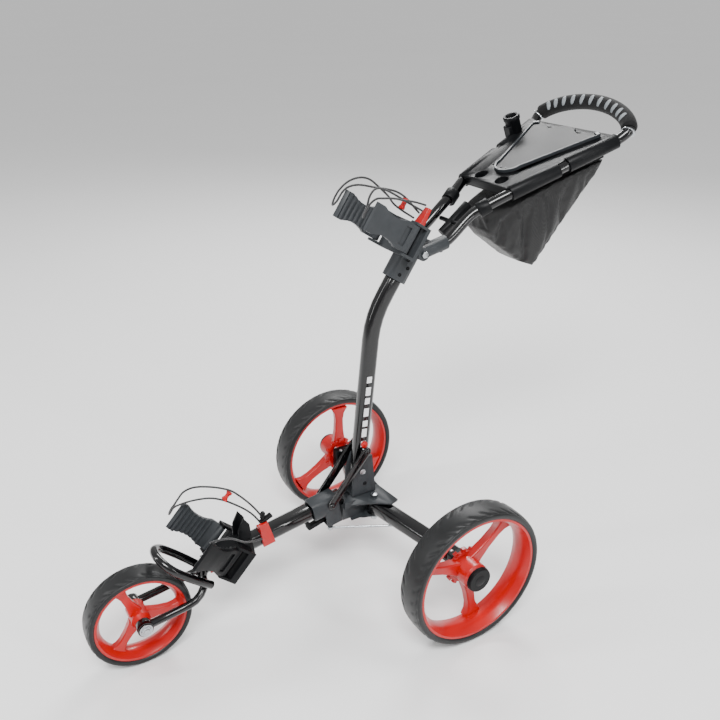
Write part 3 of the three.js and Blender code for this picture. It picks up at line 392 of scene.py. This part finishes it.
LOWER_RIGHT = ((-24, 88, -12), (0, 98, -6), (25, 104, 2), (52, 107, 10), (71, 106, 18),
               (101, 90, 36), (120, 69, 54), (126, 51, 62), (122, 33, 69), (118, 18, 74),
               (115.5, 6, 77.5), (114.5, 0, 77), (115, -3.5, 74), (116.5, -1.5, 70.5), (118, 4, 69),
               (119, 14, 68), (112, 30, 62),
               (100, 53, 48), (84, 72, 34), (67, 82, 22), (49, 87, 12), (25, 90, 2),
               (3, 88, -4), (-24, 80, -12))
LOWER_LEFT = ((94, 22, -58), (84, 30, -56), (70, 37, -53), (48, 43, -47), (12, 44, -38),
              (-12, 50, -29), (-30, 60, -25))
CORD_RADIUS = 0.002


def elastic_cord(name, where, route, body):
    points = [where(*point) for point in route]
    path = through(points, 8)
    made = tube(name + "_braid", path, CORD_RADIUS, body, braided_cord, (name,), 3)


elastic_cord("upper_cord_right", on_cradle, UPPER_RIGHT, "mast")
elastic_cord("upper_cord_left", on_cradle, UPPER_LEFT, "mast")
elastic_cord("lower_cord_right", on_foot, LOWER_RIGHT, "frame")
elastic_cord("lower_cord_left", on_foot, LOWER_LEFT, "frame")


# ---- Wheels
def spun(profile, centre, steps):
    """A closed ring turned about a wheel's axle from (radius, offset) pairs."""
    shape = bmesh.new()
    ring = [shape.verts.new(centre + Vector((0, offset, radius))) for radius, offset in profile]
    edges = [shape.edges.new((ring[i], ring[(i + 1) % len(ring)])) for i in range(len(ring))]
    bmesh.ops.spin(shape, geom=ring + edges, cent=centre, axis=(0, 1, 0), angle=2 * math.pi,
                   steps=steps, use_merge=True, use_duplicate=False)
    return shape


# A tyre's shoulder, as shares of its half width, and the grooves cut across it.
SHOULDER_START = 0.36
SHOULDER_END = 0.95
GROOVE_SHARE = 0.4
GROOVE_DEPTH = 0.0019


def tyre(node, body, grooves, slant):
    """A foamed tyre: a smooth crown with sweeping grooves cut in both shoulders."""
    low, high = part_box(node)
    centre = (low + high) / 2
    outer = (high.z - low.z) / 2
    half = (high.y - low.y) / 2
    inner = outer - (0.0155 if outer > 0.12 else 0.0125)
    crown = []
    for i in range(33):
        angle = math.pi * (i / 32 - 0.5)
        rise = math.copysign(abs(math.sin(angle)) ** 0.8, math.sin(angle))
        crown.append((inner + 0.004 + (outer - inner - 0.004) * math.cos(angle) ** 0.45,
                      half * rise))
    shape = spun([*crown, (inner, half - 0.003), (inner, 0.003 - half)], centre, grooves * 9)
    for vert in shape.verts:
        out = vert.co - centre
        radius = math.hypot(out.x, out.z)
        side = out.y / half
        if abs(side) < SHOULDER_START or radius < inner + 0.005:
            continue
        around = math.atan2(out.z, out.x) / (2 * math.pi) * grooves
        phase = (around + slant * abs(side) ** 2) % 1
        fade = min(1, (abs(side) - SHOULDER_START) * 6) * min(1, max(0, SHOULDER_END - abs(side)) * 8)
        cut = math.sin(math.pi * phase / GROOVE_SHARE) if phase < GROOVE_SHARE else 0
        depth = GROOVE_DEPTH * fade * cut
        ripple = 0.0008 if 0.86 < abs(side) < 0.9 else 0
        scale = (radius - depth - ripple) / radius
        vert.co = centre + Vector((out.x * scale, out.y, out.z * scale))
    mesh = to_mesh(shape, node + "_tread")
    piece(node + "_tread", mesh, body, tyre_foam, (node,))


def close_rows(shape, rows):
    """Skins a run of four-cornered sections and caps both ends."""
    for row, following in zip(rows, rows[1:]):
        for i in range(4):
            j = (i + 1) % 4
            shape.faces.new((row[i], row[j], following[j], following[i]))
    shape.faces.new(rows[0])
    shape.faces.new(rows[-1])


def spoke(shape, centre, angle, size):
    """One hollow-backed spoke, wide where it meets the hub and flared into the barrel."""
    spine = ((size["hub"] * 0.7, 1.25), (size["hub"] * 1.25, 1.0), (size["rim"] * 0.5, 0.72),
             (size["rim"] * 0.74, 0.66), (size["rim"] * 0.88, 0.86), (size["rim"], 1.45))
    heading = Vector((math.cos(angle), 0, math.sin(angle)))
    aside = Vector((-heading.z, 0, heading.x))
    rows = []
    for radius, share in spine:
        half = size["spoke"] * share
        deep = size["deep"] * (0.8 + 0.2 * share)
        corners = [(-half, -deep), (-half * 0.8, deep), (half * 0.8, deep), (half, -deep)]
        rows.append([shape.verts.new(centre + heading * radius + aside * across
                                     + Vector((0, size["face"] * out + size["mid"], 0)))
                     for across, out in corners])
    close_rows(shape, rows)


def rim(node, body, size):
    """A moulded wheel: stepped barrel with beads, three flared spokes, hub and bore."""
    centre = middle(node)
    centre.y = size["y"]
    rim_outer = size["rim"] + 0.009
    half = size["half"]
    barrel = [(rim_outer + 0.0015, half), (rim_outer + 0.0015, half - 0.003),
              (rim_outer, half - 0.005), (rim_outer, 0.005 - half),
              (rim_outer + 0.0015, 0.003 - half), (rim_outer + 0.0015, -half),
              (rim_outer - 0.004, -half), (size["rim"] - 0.001, -half * 0.55),
              (size["rim"] - 0.004, -half * 0.2), (size["rim"] - 0.004, half * 0.2),
              (size["rim"] - 0.001, half * 0.55), (rim_outer - 0.004, half)]
    made = piece(node + "_barrel", to_mesh(spun(barrel, centre, 96), node + "_barrel"), body,
                 red_abs, (node,))
    soften(made, 0.0008, 30)
    shape = bmesh.new()
    for i in range(3):
        spoke(shape, centre, math.radians(size["turn"] + 120 * i), size)
    spokes = piece(node + "_spokes", to_mesh(shape, node + "_spokes"), body, red_abs)
    soften(spokes, 0.003, 35, 3)
    low, high = size["hub_span"]
    hub = size["hub"]
    bore = 0.0066
    walls = [(bore, low), (hub * 0.72, low), (hub * 0.8, low + 0.003), (hub, low + 0.009),
             (hub, high - 0.003), (hub - 0.003, high), (bore, high)]
    core = piece(node + "_hub", to_mesh(spun(walls, centre, 64), node + "_hub"), body,
                 red_abs)
    soften(core, 0.0006, 30)
    return centre


def brake_ring(side, s):
    """The ring of square teeth that the parking brake catches, inside a rear wheel."""
    centre = middle("rear_rim_" + side)
    inner_face = centre.y - s * 0.0255
    shape = bmesh.new()
    teeth = 12
    for i in range(teeth):
        angle = 2 * math.pi * i / teeth
        place = (Matrix.Translation(Vector((centre.x, inner_face, centre.z)))
                 @ Matrix.Rotation(angle, 4, "Y") @ Matrix.Translation((0.0345, 0, 0))
                 @ Matrix.Diagonal((0.011, 0.008, 0.0085, 1)))
        bmesh.ops.create_cube(shape, size=1, matrix=place)
    band = spun([(0.027, -0.004), (0.034, -0.004), (0.034, 0.004), (0.027, 0.004)],
                Vector((centre.x, inner_face + s * 0.002, centre.z)), 60)
    ring = to_mesh(band, "ring")
    shape.from_mesh(ring)
    made = piece("brake_ring_" + side, to_mesh(shape, "brake_ring_" + side), "wheel_" + side,
                 red_abs)
    soften(made, 0.0006, 40)


def wheels():
    for (side, s), turn_degrees in zip(SIDES, (41, 89)):
        node = "rear_rim_" + side
        y = s * 0.27
        hub_span = (-0.029, 0.024) if s > 0 else (-0.024, 0.029)
        tyre("rear_tyre_" + side, "wheel_" + side, 36, 1.1)
        rim(node, "wheel_" + side, {
            "y": y, "rim": 0.1225, "half": 0.027, "hub": 0.027, "spoke": 0.0155, "deep": 0.009,
            "face": s, "mid": -s * 0.018, "turn": turn_degrees, "hub_span": hub_span})
        brake_ring(side, s)
    tyre("front_tyre", "front_wheel", 26, 1.0)
    rim("front_rim", "front_wheel", {
        "y": 0, "rim": 0.078, "half": 0.022, "hub": 0.018, "spoke": 0.012, "deep": 0.009,
        "face": 1, "mid": 0, "turn": 113, "hub_span": (-0.028, 0.028)})


# ---- Handle, grip and its ovals
BOW_START = CONSOLE_LENGTH + 0.025
BOW_REACH = 0.048
BOW_RISE = 0.023
BOW_HALF = HIGH_HALF + 0.009
GRIP_RADIUS = 0.015


def on_bow(degrees):
    share = math.cos(math.radians(degrees)) ** 1.3
    return on_console(BOW_START + BOW_REACH * share, BOW_HALF * math.sin(math.radians(degrees)),
                      0.007 + BOW_RISE * share)


def handle():
    low = [on_cradle(*point) for point in
           ((-9, 85, 44), (-34, 107, 44.5), (-59, 177, 46), (-75, 205, 55))]
    half = low + [on_console(along, tube_half(along))
                  for along in (0, 0.06, CONSOLE_LENGTH * 0.6, CONSOLE_LENGTH)]
    half += [on_bow(degrees) for degrees in (80, 60, 38, 18)]
    tube("handle_tube", through([*half, on_bow(0), *mirrored(half)], 10), 0.0105, "handle",
         enamelled_tube, ("handle_frame",), 10)


def grip():
    angles = [78 - 156 * i / 60 for i in range(61)]
    path = [on_bow(degrees) for degrees in angles]
    radii = []
    for i in range(len(path)):
        ends = min(i, len(path) - 1 - i)
        radii.append(0.84 if ends == 0 else 0.97 if ends == 1 else 1.04)
    tube("grip_sleeve", path, GRIP_RADIUS, "handle", grip_foam, ("grip",), 10, radii)
    shape = bmesh.new()
    for i in range(11):
        degrees = 57 - 114 * i / 10
        place = on_bow(degrees)
        heading = (on_bow(degrees + 2) - on_bow(degrees - 2)).normalized()
        inward = heading.cross(FACE).normalized()
        if inward.dot(on_console(0, 0) - place) < 0:
            inward = -inward
        toward = (FACE * 0.9 + inward * 0.75).normalized()
        around = heading.cross(toward)
        made = bmesh.ops.create_grid(shape, x_segments=10, y_segments=14, size=1)
        for vert in made["verts"]:
            u, v = vert.co.x, vert.co.y
            width = 0.0052 * math.sqrt(max(0, 1 - (v * v) ** 0.9)) * u
            turn_by = v * 0.82
            out = toward * math.cos(turn_by) + around * math.sin(turn_by)
            lift = 0.0012 * (1 - max(abs(u), abs(v)) ** 4)
            vert.co = place + heading * (width + v * v * 0.002) + out * (GRIP_RADIUS * 1.02 + lift)
    bmesh.ops.remove_doubles(shape, verts=shape.verts, dist=0.00002)
    ovals = piece("grip_ovals", to_mesh(shape, "grip_ovals"), "handle", pale_rubber)
    thick = ovals.modifiers.new("thickness", "SOLIDIFY")
    thick.thickness = 0.0015
    thick.offset = -1


# ---- Hoop under the bag
def hoop():
    tip = middle("front_tyre") + Vector((0.046, 0, 0.12))
    half = [tip - FOOT_OUT * down + Vector((0, y, 0)) for down, y in
            ((0.122, 0.034), (0.09, 0.04), (0.055, 0.042), (0.025, 0.038), (0.006, 0.022))]
    tube("hoop_bar", through([*half, tip, *mirrored(half)], 10), 0.008, "frame",
         enamelled_tube, ("bag_hoop",), 8)


# ---- Console lid, its rim and small parts
def slab(outline, low, high, name, body, material, replaced=(), width=0.0012):
    """A plate cut to an outline on the console's face."""
    shape = bmesh.new()
    base = shape.faces.new([shape.verts.new(on_console(a, y, low)) for a, y in outline])
    rise = bmesh.ops.extrude_face_region(shape, geom=[base])
    bmesh.ops.translate(shape, vec=FACE * (high - low),
                        verts=[g for g in rise["geom"] if isinstance(g, bmesh.types.BMVert)])
    made = piece(name, to_mesh(shape, name), body, material, replaced)
    soften(made, width, 40, 3)
    return made


def lid_outline(inset):
    """A deep U, round at the low end and scalloped toward the grip."""
    points = []
    for i in range(19):
        angle = math.pi * (i / 18 - 0.5)
        points.append((0.066 - (0.03 - inset) * math.cos(angle), (0.033 - inset) * math.sin(angle)))
    top = 0.224 - inset
    wide = tube_half(top) - 0.021 - inset
    scallop = [(top - 0.006, wide), (top, wide - 0.012), (top - 0.004, wide - 0.034),
               (top - 0.011, wide - 0.05), (top - 0.004, wide - 0.064), (top + 0.006, 0.02)]
    return points + scallop + [(a, -y) for a, y in reversed(scallop)]


def console():
    top = 0.0124
    slab(lid_outline(0.004), top, top + 0.0035, "lid_plate", "lid", satin_polypropylene,
         ("console_lid",))
    outer, inner = lid_outline(0), lid_outline(0.0055)
    low_outer = outer[-2:] + outer[:21]
    low_inner = inner[-2:] + inner[:21]
    band = low_outer + list(reversed(low_inner))
    # The rim's lighter gray is a painted highlight on the black plastic.
    slab(band, top - 0.001, top + 0.0065, "lid_rim", "lid", polished_polypropylene_painted_highlight,
         (), 0.0016)
    for i, y in enumerate((-0.007, 0.007)):
        shape = bmesh.new()
        place = on_console(0.05, y, top + 0.0035)
        bmesh.ops.create_cone(shape, cap_ends=True, segments=20, radius1=0.0025, radius2=0.0022,
                              depth=0.002, matrix=Matrix.Translation(place) @ CONSOLE_TURN)
        # The studs carry the same painted highlight of lighter gray.
        made = piece(f"lid_stud_{i}", to_mesh(shape, "lid_stud"), "lid",
                     polished_polypropylene_painted_highlight)
        soften(made, 0.0004)


# ---- Print on the mast: a plain line of bars in place of words
def mast_print():
    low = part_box("mast_tube")[0]
    base = pivot("mast_fold")
    mast = lean(5.8)
    ahead = Vector((-mast.z, 0, mast.x))
    axes = Matrix((ahead, Vector((0, 1, 0)), mast)).transposed().to_4x4()
    shape = bmesh.new()
    heights = (0.062, 0.087, 0.108, 0.133, 0.158, 0.179, 0.204)
    for i, along in enumerate(heights):
        tall = 0.018 if i % 2 else 0.013
        place = base + mast * along + ahead * 0.001 + Vector((0, low.y - 0.00015, 0))
        size = Matrix.Diagonal((0.011, 0.0004, tall, 1))
        bmesh.ops.create_cube(shape, size=1, matrix=Matrix.Translation(place) @ axes @ size)
    piece("mast_print", to_mesh(shape, "mast_print", False), "mast", white_print)


# ---- Accessory bag
def bag_points(inset):
    """The corners of the bag's slack form, hung from the console's underside."""
    corners = []
    for s in (1, -1):
        corners += [
            on_console(-0.044 + inset, s * (0.036 - inset), -0.022 - inset),
            on_console(0.01, s * (0.062 - inset), -0.037),
            on_console(0.222 - inset, s * (0.096 - inset), -0.037),
            on_console(0.222 - inset, s * (0.09 - inset), -0.047),
            CONSOLE + Vector((0.111 - inset, s * (0.042 - inset), -0.168 + 2 * inset)),
            CONSOLE + Vector((0.071 + inset, s * (0.04 - inset), -0.155 + 2 * inset)),
            CONSOLE + Vector((-0.022 + inset, s * (0.038 - inset), -0.083 + inset)),
        ]
    return corners


def evaluated(made):
    """What a piece's modifiers make of it, as a mesh of its own."""
    seen = made.evaluated_get(bpy.context.evaluated_depsgraph_get())
    return bpy.data.meshes.new_from_object(seen)


def accessory_bag():
    shape = bmesh.new()
    for corner in bag_points(0.004):
        shape.verts.new(corner)
    bmesh.ops.convex_hull(shape, input=shape.verts)
    bag = piece("bag_cloth", to_mesh(shape, "bag_cloth"), "handle", pack_cloth,
                ("accessory_bag",))
    voxels = bag.modifiers.new("voxels", "REMESH")
    voxels.mode = "VOXEL"
    voxels.voxel_size = 0.005
    bag.data = evaluated(bag)
    bag.modifiers.clear()
    rest = [vert.co.copy() for vert in bag.data.vertices]
    held = bag.vertex_groups.new(name="held")
    fixed = [i for i, co in enumerate(rest) if (co - CONSOLE).dot(FACE) > -0.045]
    held.add(fixed, 1.0, "REPLACE")
    cloth = bag.modifiers.new("cloth", "CLOTH")
    cloth.settings.quality = 6
    cloth.settings.mass = 0.15
    cloth.settings.tension_stiffness = 12
    cloth.settings.compression_stiffness = 12
    cloth.settings.bending_stiffness = 0.15
    cloth.settings.shrink_min = -0.07
    cloth.settings.shrink_max = -0.07
    cloth.settings.vertex_group_mass = "held"
    cloth.settings.use_pressure = True
    cloth.settings.uniform_pressure_force = 0.6
    cloth.settings.effector_weights.gravity = 0.15
    cloth.collision_settings.use_collision = False
    for moment in range(1, 26):
        bpy.context.scene.frame_set(moment)
    bag.data = evaluated(bag)
    bag.modifiers.clear()
    bpy.context.scene.frame_set(1)
    limit = 0.009
    for vert, start in zip(bag.data.vertices, rest):
        moved = vert.co - start
        if moved.length > limit:
            vert.co = start + moved.normalized() * limit
        hang = max(0, -(start - CONSOLE).dot(FACE) - 0.045)
        fold = noise.noise(Vector((start.x * 26, start.y * 30, start.z * 9)))
        vert.co += Vector((0.3, 1 if start.y > 0 else -1, 0)) * fold * min(0.004, hang * 0.08)
    for polygon in bag.data.polygons:
        polygon.use_smooth = True
    fine = bag.modifiers.new("fine", "SUBSURF")
    fine.levels = 1
    fine.render_levels = 1


# ---- Screws, caps, clips, the umbrella holder and the lower cord's buckle
def upright(out):
    """A turn that stands a cone's axis along a direction."""
    return out.to_track_quat("Z", "Y").to_matrix().to_4x4()


def screw(name, place, out, radius, body, material=satin_polypropylene):
    """A pan head with a recess, its flat side against the plastic."""
    shape = bmesh.new()
    bmesh.ops.create_cone(shape, cap_ends=True, segments=28, radius1=radius, radius2=radius * 0.78,
                          depth=radius * 0.55,
                          matrix=Matrix.Translation(place + out * radius * 0.2) @ upright(out))
    top = max(shape.faces, key=lambda face: face.calc_center_median().dot(out))
    bmesh.ops.inset_region(shape, faces=[top], thickness=radius * 0.42)
    bmesh.ops.translate(shape, vec=-out * radius * 0.3, verts=list(top.verts))
    soften(piece(name, to_mesh(shape, name), body, material), 0.0003, 30)


def hub_dome(side, s):
    """The domed disc over a rear hub, flush with the outer face of its cap."""
    thick = 0.009
    low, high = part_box("hub_cap_" + side)
    face = (low + high) / 2
    face.y = high.y if s > 0 else low.y
    place = face - Vector((0, s * (thick / 2 + 0.0002), 0))
    shape = bmesh.new()
    bmesh.ops.create_cone(shape, cap_ends=True, segments=48, radius1=0.0265, radius2=0.0245,
                          depth=thick, matrix=Matrix.Translation(place) @ upright(Vector((0, s, 0))))
    dome = piece("hub_dome_" + side, to_mesh(shape, "hub_dome"), "wheel_" + side,
                 satin_polypropylene)
    soften(dome, 0.002, 25, 3)


def cord_buckle():
    """The black buckle and its lever on the lower cord's red anchor."""
    low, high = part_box("lower_cord_anchor")
    spot = Vector(((low.x + high.x) / 2 + 0.002, low.y + 0.009, high.z + 0.001))
    shape = bmesh.new()
    for offset, size, tilt in (((0, 0, 0.002), (0.026, 0.011, 0.007), -24),
                               ((-0.007, 0, 0.011), (0.007, 0.009, 0.016), 12)):
        bmesh.ops.create_cube(shape, size=1, matrix=Matrix.Translation(spot + Vector(offset))
                              @ Matrix.Rotation(math.radians(tilt), 4, "Y")
                              @ Matrix.Diagonal((*size, 1)))
    buckle = piece("cord_buckle", to_mesh(shape, "cord_buckle"), "frame",
                   satin_polypropylene)
    soften(buckle, 0.0018, 40, 3)


def small_parts():
    for i, (out, high) in enumerate(((6, 12), (-4, 30), (4, 44))):
        screw(f"socket_screw_{i}", on_cradle(out, high, -20), Vector((0, -1, 0)), 0.0038, "mast")
    for side, s in SIDES:
        hub_dome(side, s)
        low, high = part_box("hub_bracket")
        place = pivot("mast_fold") + Vector((0.006, s * (high.y - low.y) / 2, -0.03))
        screw("bracket_screw_" + side, place, Vector((0, s, 0)), 0.0045, "frame")
        low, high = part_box("axle_block_" + side)
        place = Vector((low.x + 0.012, (low.y + high.y) / 2 - s * 0.009, high.z))
        screw("block_screw_" + side, place, Vector((0, 0, 1)), 0.004, "arm_" + side,
              plated_steel)
    cord_buckle()


def strap_clip(name, node, aside, body):
    """A red moulded clip, wide at both ends and waisted between, with aside its long way."""
    place = middle(node)
    out = Vector((-aside.z, 0, aside.x))
    heading = aside.cross(out)
    length, thick = 0.017, 0.0056
    shape = bmesh.new()
    rows = []
    for share, wide in ((-0.62, 0.0075), (-0.4, 0.0075), (-0.15, 0.0035), (0.15, 0.0035),
                        (0.4, 0.0075), (0.62, 0.0075)):
        centre = place + aside * share * length
        rows.append([shape.verts.new(centre + heading * wide * u + out * thick / 2 * w)
                     for u, w in ((-1, -1), (1, -1), (1, 1), (-1, 1))])
    close_rows(shape, rows)
    soften(piece(name, to_mesh(shape, name), body, red_abs), 0.0009, 30, 3)


def umbrella_holder():
    """A round socket with a rolled lip, standing on a flat foot beside the console."""
    along = 0.177
    y = tube_half(along) + 0.004
    profile = [(0.011, -0.004), (0.015, -0.004), (0.0158, 0.0), (0.0158, 0.038), (0.0175, 0.041),
               (0.0175, 0.047), (0.016, 0.049), (0.0125, 0.049), (0.011, 0.047)]
    shape = spun(profile, Vector((0, 0, 0)), 56)
    stand = Matrix((ALONG, FACE, -ALONG.cross(FACE))).transposed().to_4x4()
    bmesh.ops.transform(shape, matrix=Matrix.Translation(on_console(along, y)) @ stand,
                        verts=shape.verts)
    holder = piece("umbrella_holder", to_mesh(shape, "umbrella_holder"), "handle",
                   satin_polypropylene)
    soften(holder, 0.0006, 40)
    shape = bmesh.new()
    for ahead, above, size in ((-0.0145, 0.016, (0.01, 0.021, 0.032)),
                               (0, -0.002, (0.032, 0.03, 0.007))):
        place = Matrix.Translation(on_console(along + ahead, y, above))
        bmesh.ops.create_cube(shape, size=1, matrix=place @ CONSOLE_TURN
                              @ Matrix.Diagonal((*size, 1)))
    foot = piece("umbrella_foot", to_mesh(shape, "umbrella_foot"), "handle",
                 satin_polypropylene, ("umbrella_socket",))
    soften(foot, 0.0025, 40, 3)


def axle_washers():
    """A plated washer under each nut of the front axle."""
    axle = middle("front_axle")
    low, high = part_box("front_axle")
    for side, s in SIDES:
        end = low.y if s < 0 else high.y
        shape = spun([(0.004, -0.001), (0.0125, -0.001), (0.0125, 0.0006), (0.004, 0.0006)],
                     Vector((axle.x, end - s * 0.007, axle.z)), 40)
        washer = piece("axle_washer_" + side, to_mesh(shape, "axle_washer"), "frame",
                       plated_steel)
        soften(washer, 0.0003, 30)


finish_nodes()
small_parts()
umbrella_holder()
axle_washers()
strap_clip("upper_strap_clip", "upper_cord_clip", BAG, "mast")
strap_clip("lower_strap_clip", "lower_cord_clip", FOOT, "frame")
wheels()
handle()
grip()
hoop()
console()
mast_print()
accessory_bag()


# ---- Floor and light
def studio():
    floor_shape = bmesh.new()
    bmesh.ops.create_grid(floor_shape, x_segments=1, y_segments=1, size=200)
    floor = bpy.data.objects.new("floor", to_mesh(floor_shape, "floor", False))
    bpy.context.scene.collection.objects.link(floor)
    floor.data.materials.append(surface("floor_paint", {}, ("#F4F4F4", "#F6F6F6"), 2.0, 0.00001,
                                        0.01, (0.9, 0.95)))
    world = bpy.data.worlds.new("room")
    bpy.context.scene.world = world
    world.use_nodes = True
    sky = world.node_tree
    heading = add_node(sky, "ShaderNodeTexCoord").outputs["Generated"]
    height = add_node(sky, "ShaderNodeSeparateXYZ", {"Vector": heading}).outputs["Z"]
    fade = add_node(sky, "ShaderNodeMapRange", {"Value": height},
                    {"From Min": 0.0, "From Max": 0.7, "To Min": 0.46, "To Max": 0.78})
    sky.links.new(fade.outputs["Result"], sky.nodes["Background"].inputs["Strength"])
    sky.nodes["Background"].inputs["Color"].default_value = (1, 1, 1, 1)
    lamps = (
        ("key", (-1.2, -1.9, 3.2), 1.6, 0.9, 150),
        ("side", (-2.6, 0.9, 1.9), 0.25, 2.2, 34),
        ("rim", (1.8, 2.0, 2.6), 1.8, 0.5, 80),
        ("strip", (0.9, -2.6, 1.5), 0.16, 2.2, 26),
    )
    aim = (Vector(cad_box[0]) + Vector(cad_box[1])) / 2
    for name, place, wide, tall, power in lamps:
        light = bpy.data.lights.new(name, "AREA")
        light.shape = "RECTANGLE"
        light.size = wide
        light.size_y = tall
        light.energy = power
        lamp = bpy.data.objects.new(name, light)
        lamp.location = place
        lamp.rotation_euler = (Vector(place) - aim).to_track_quat("Z", "Y").to_euler()
        bpy.context.scene.collection.objects.link(lamp)


studio()
